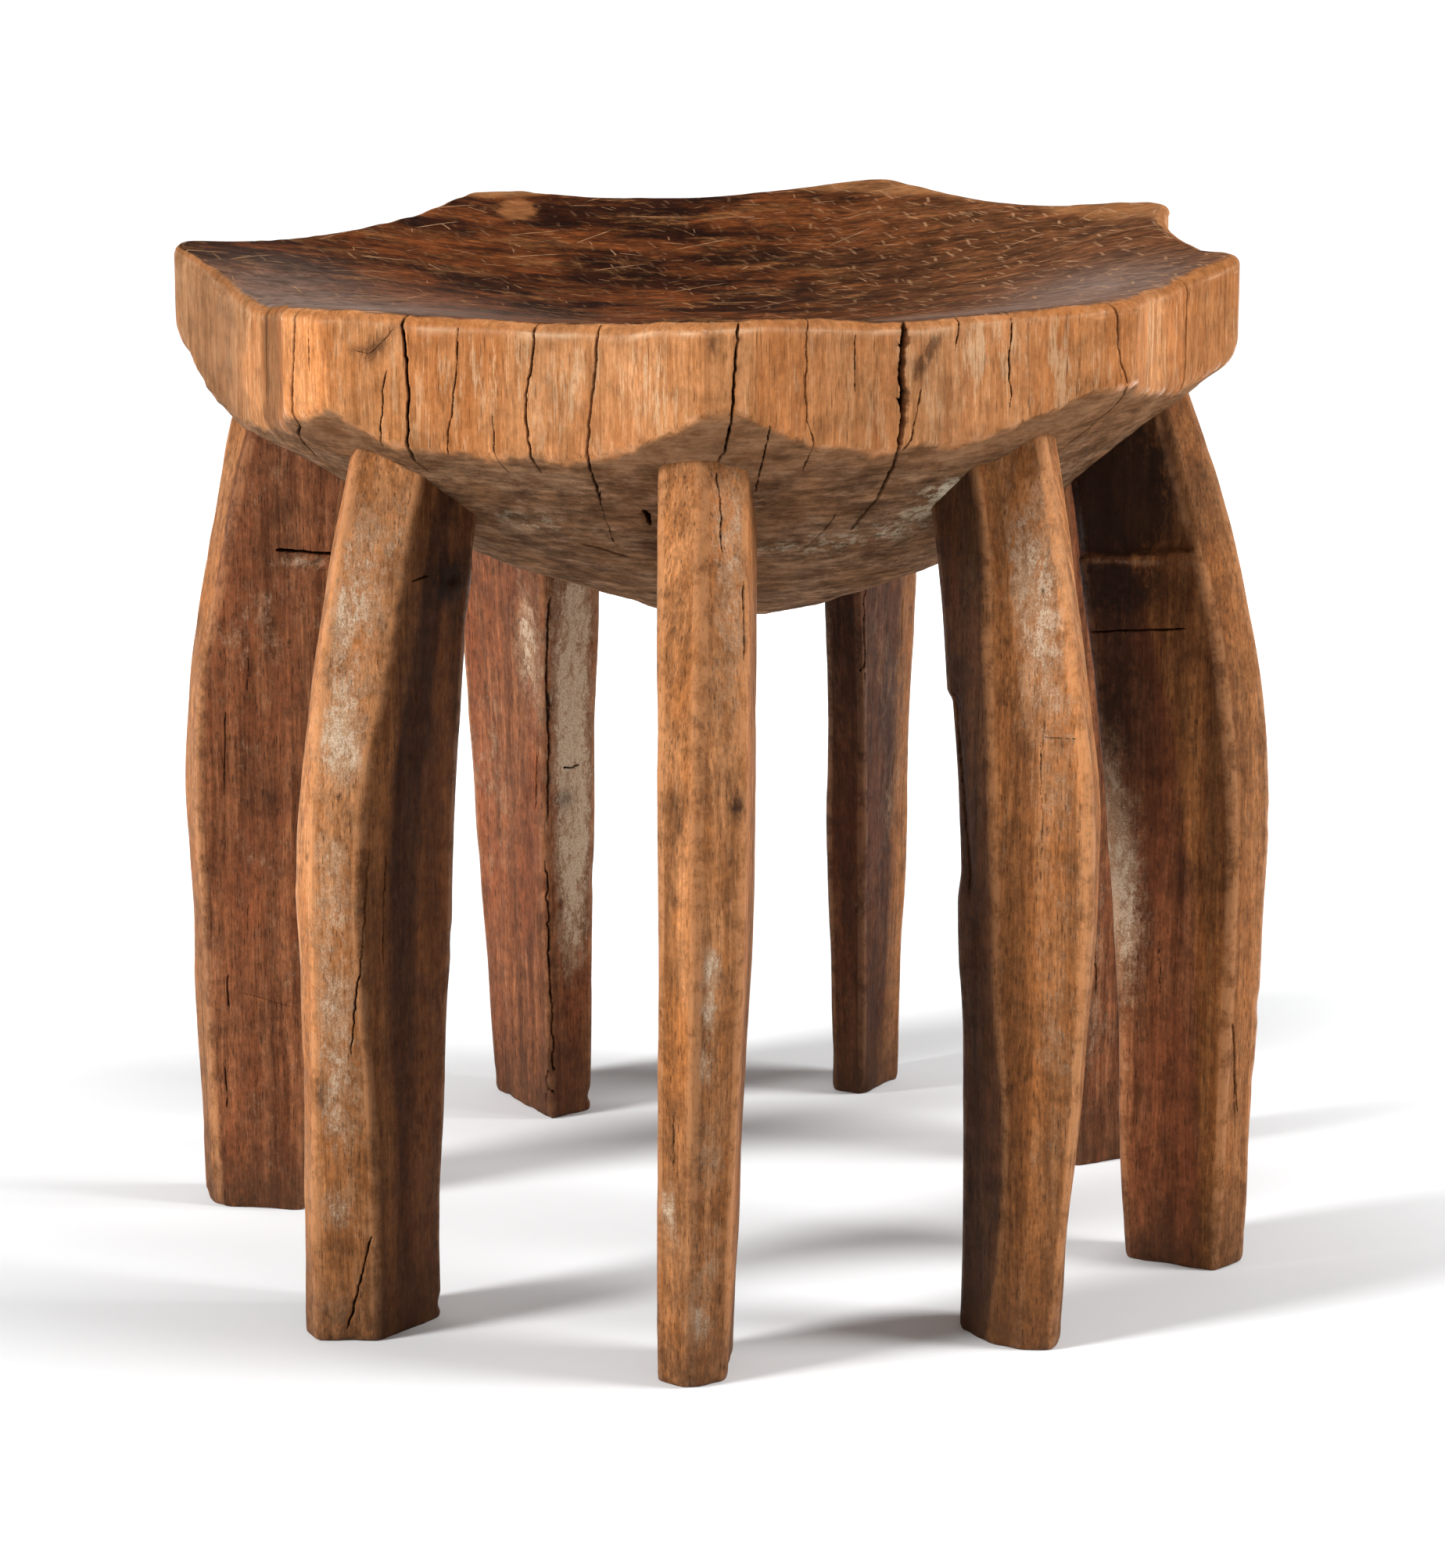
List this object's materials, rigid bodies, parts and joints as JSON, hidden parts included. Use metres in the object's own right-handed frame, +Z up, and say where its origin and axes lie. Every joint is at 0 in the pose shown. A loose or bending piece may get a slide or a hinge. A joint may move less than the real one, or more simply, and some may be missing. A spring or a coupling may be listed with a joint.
{
  "type": "carved stool",
  "caption": "Low wooden stool: dished seat with a scalloped, pointed rim and bowl-shaped underside, on bowed plank-like legs tenoned into it.",
  "frame": {"origin": "on the floor, under the middle of the stool's outline", "axes": "+Z up from the floor to the seat; -Y towards the leg that faces the camera in the picture; +X to the right in the picture"},
  "size_m": [0.486, 0.4822, 0.452],
  "materials": {
    "seat_wood": "worn, rubbed",
    "leg_wood": "worn, rubbed"
  },
  "bodies": {
    "root": {"seat": "seat_wood", "leg_front": "leg_wood", "leg_front_left": "leg_wood", "leg_left": "leg_wood", "leg_back_left": "leg_wood", "leg_back": "leg_wood", "leg_back_right": "leg_wood", "leg_right": "leg_wood", "leg_front_right": "leg_wood"}
  },
  "joints": []
}
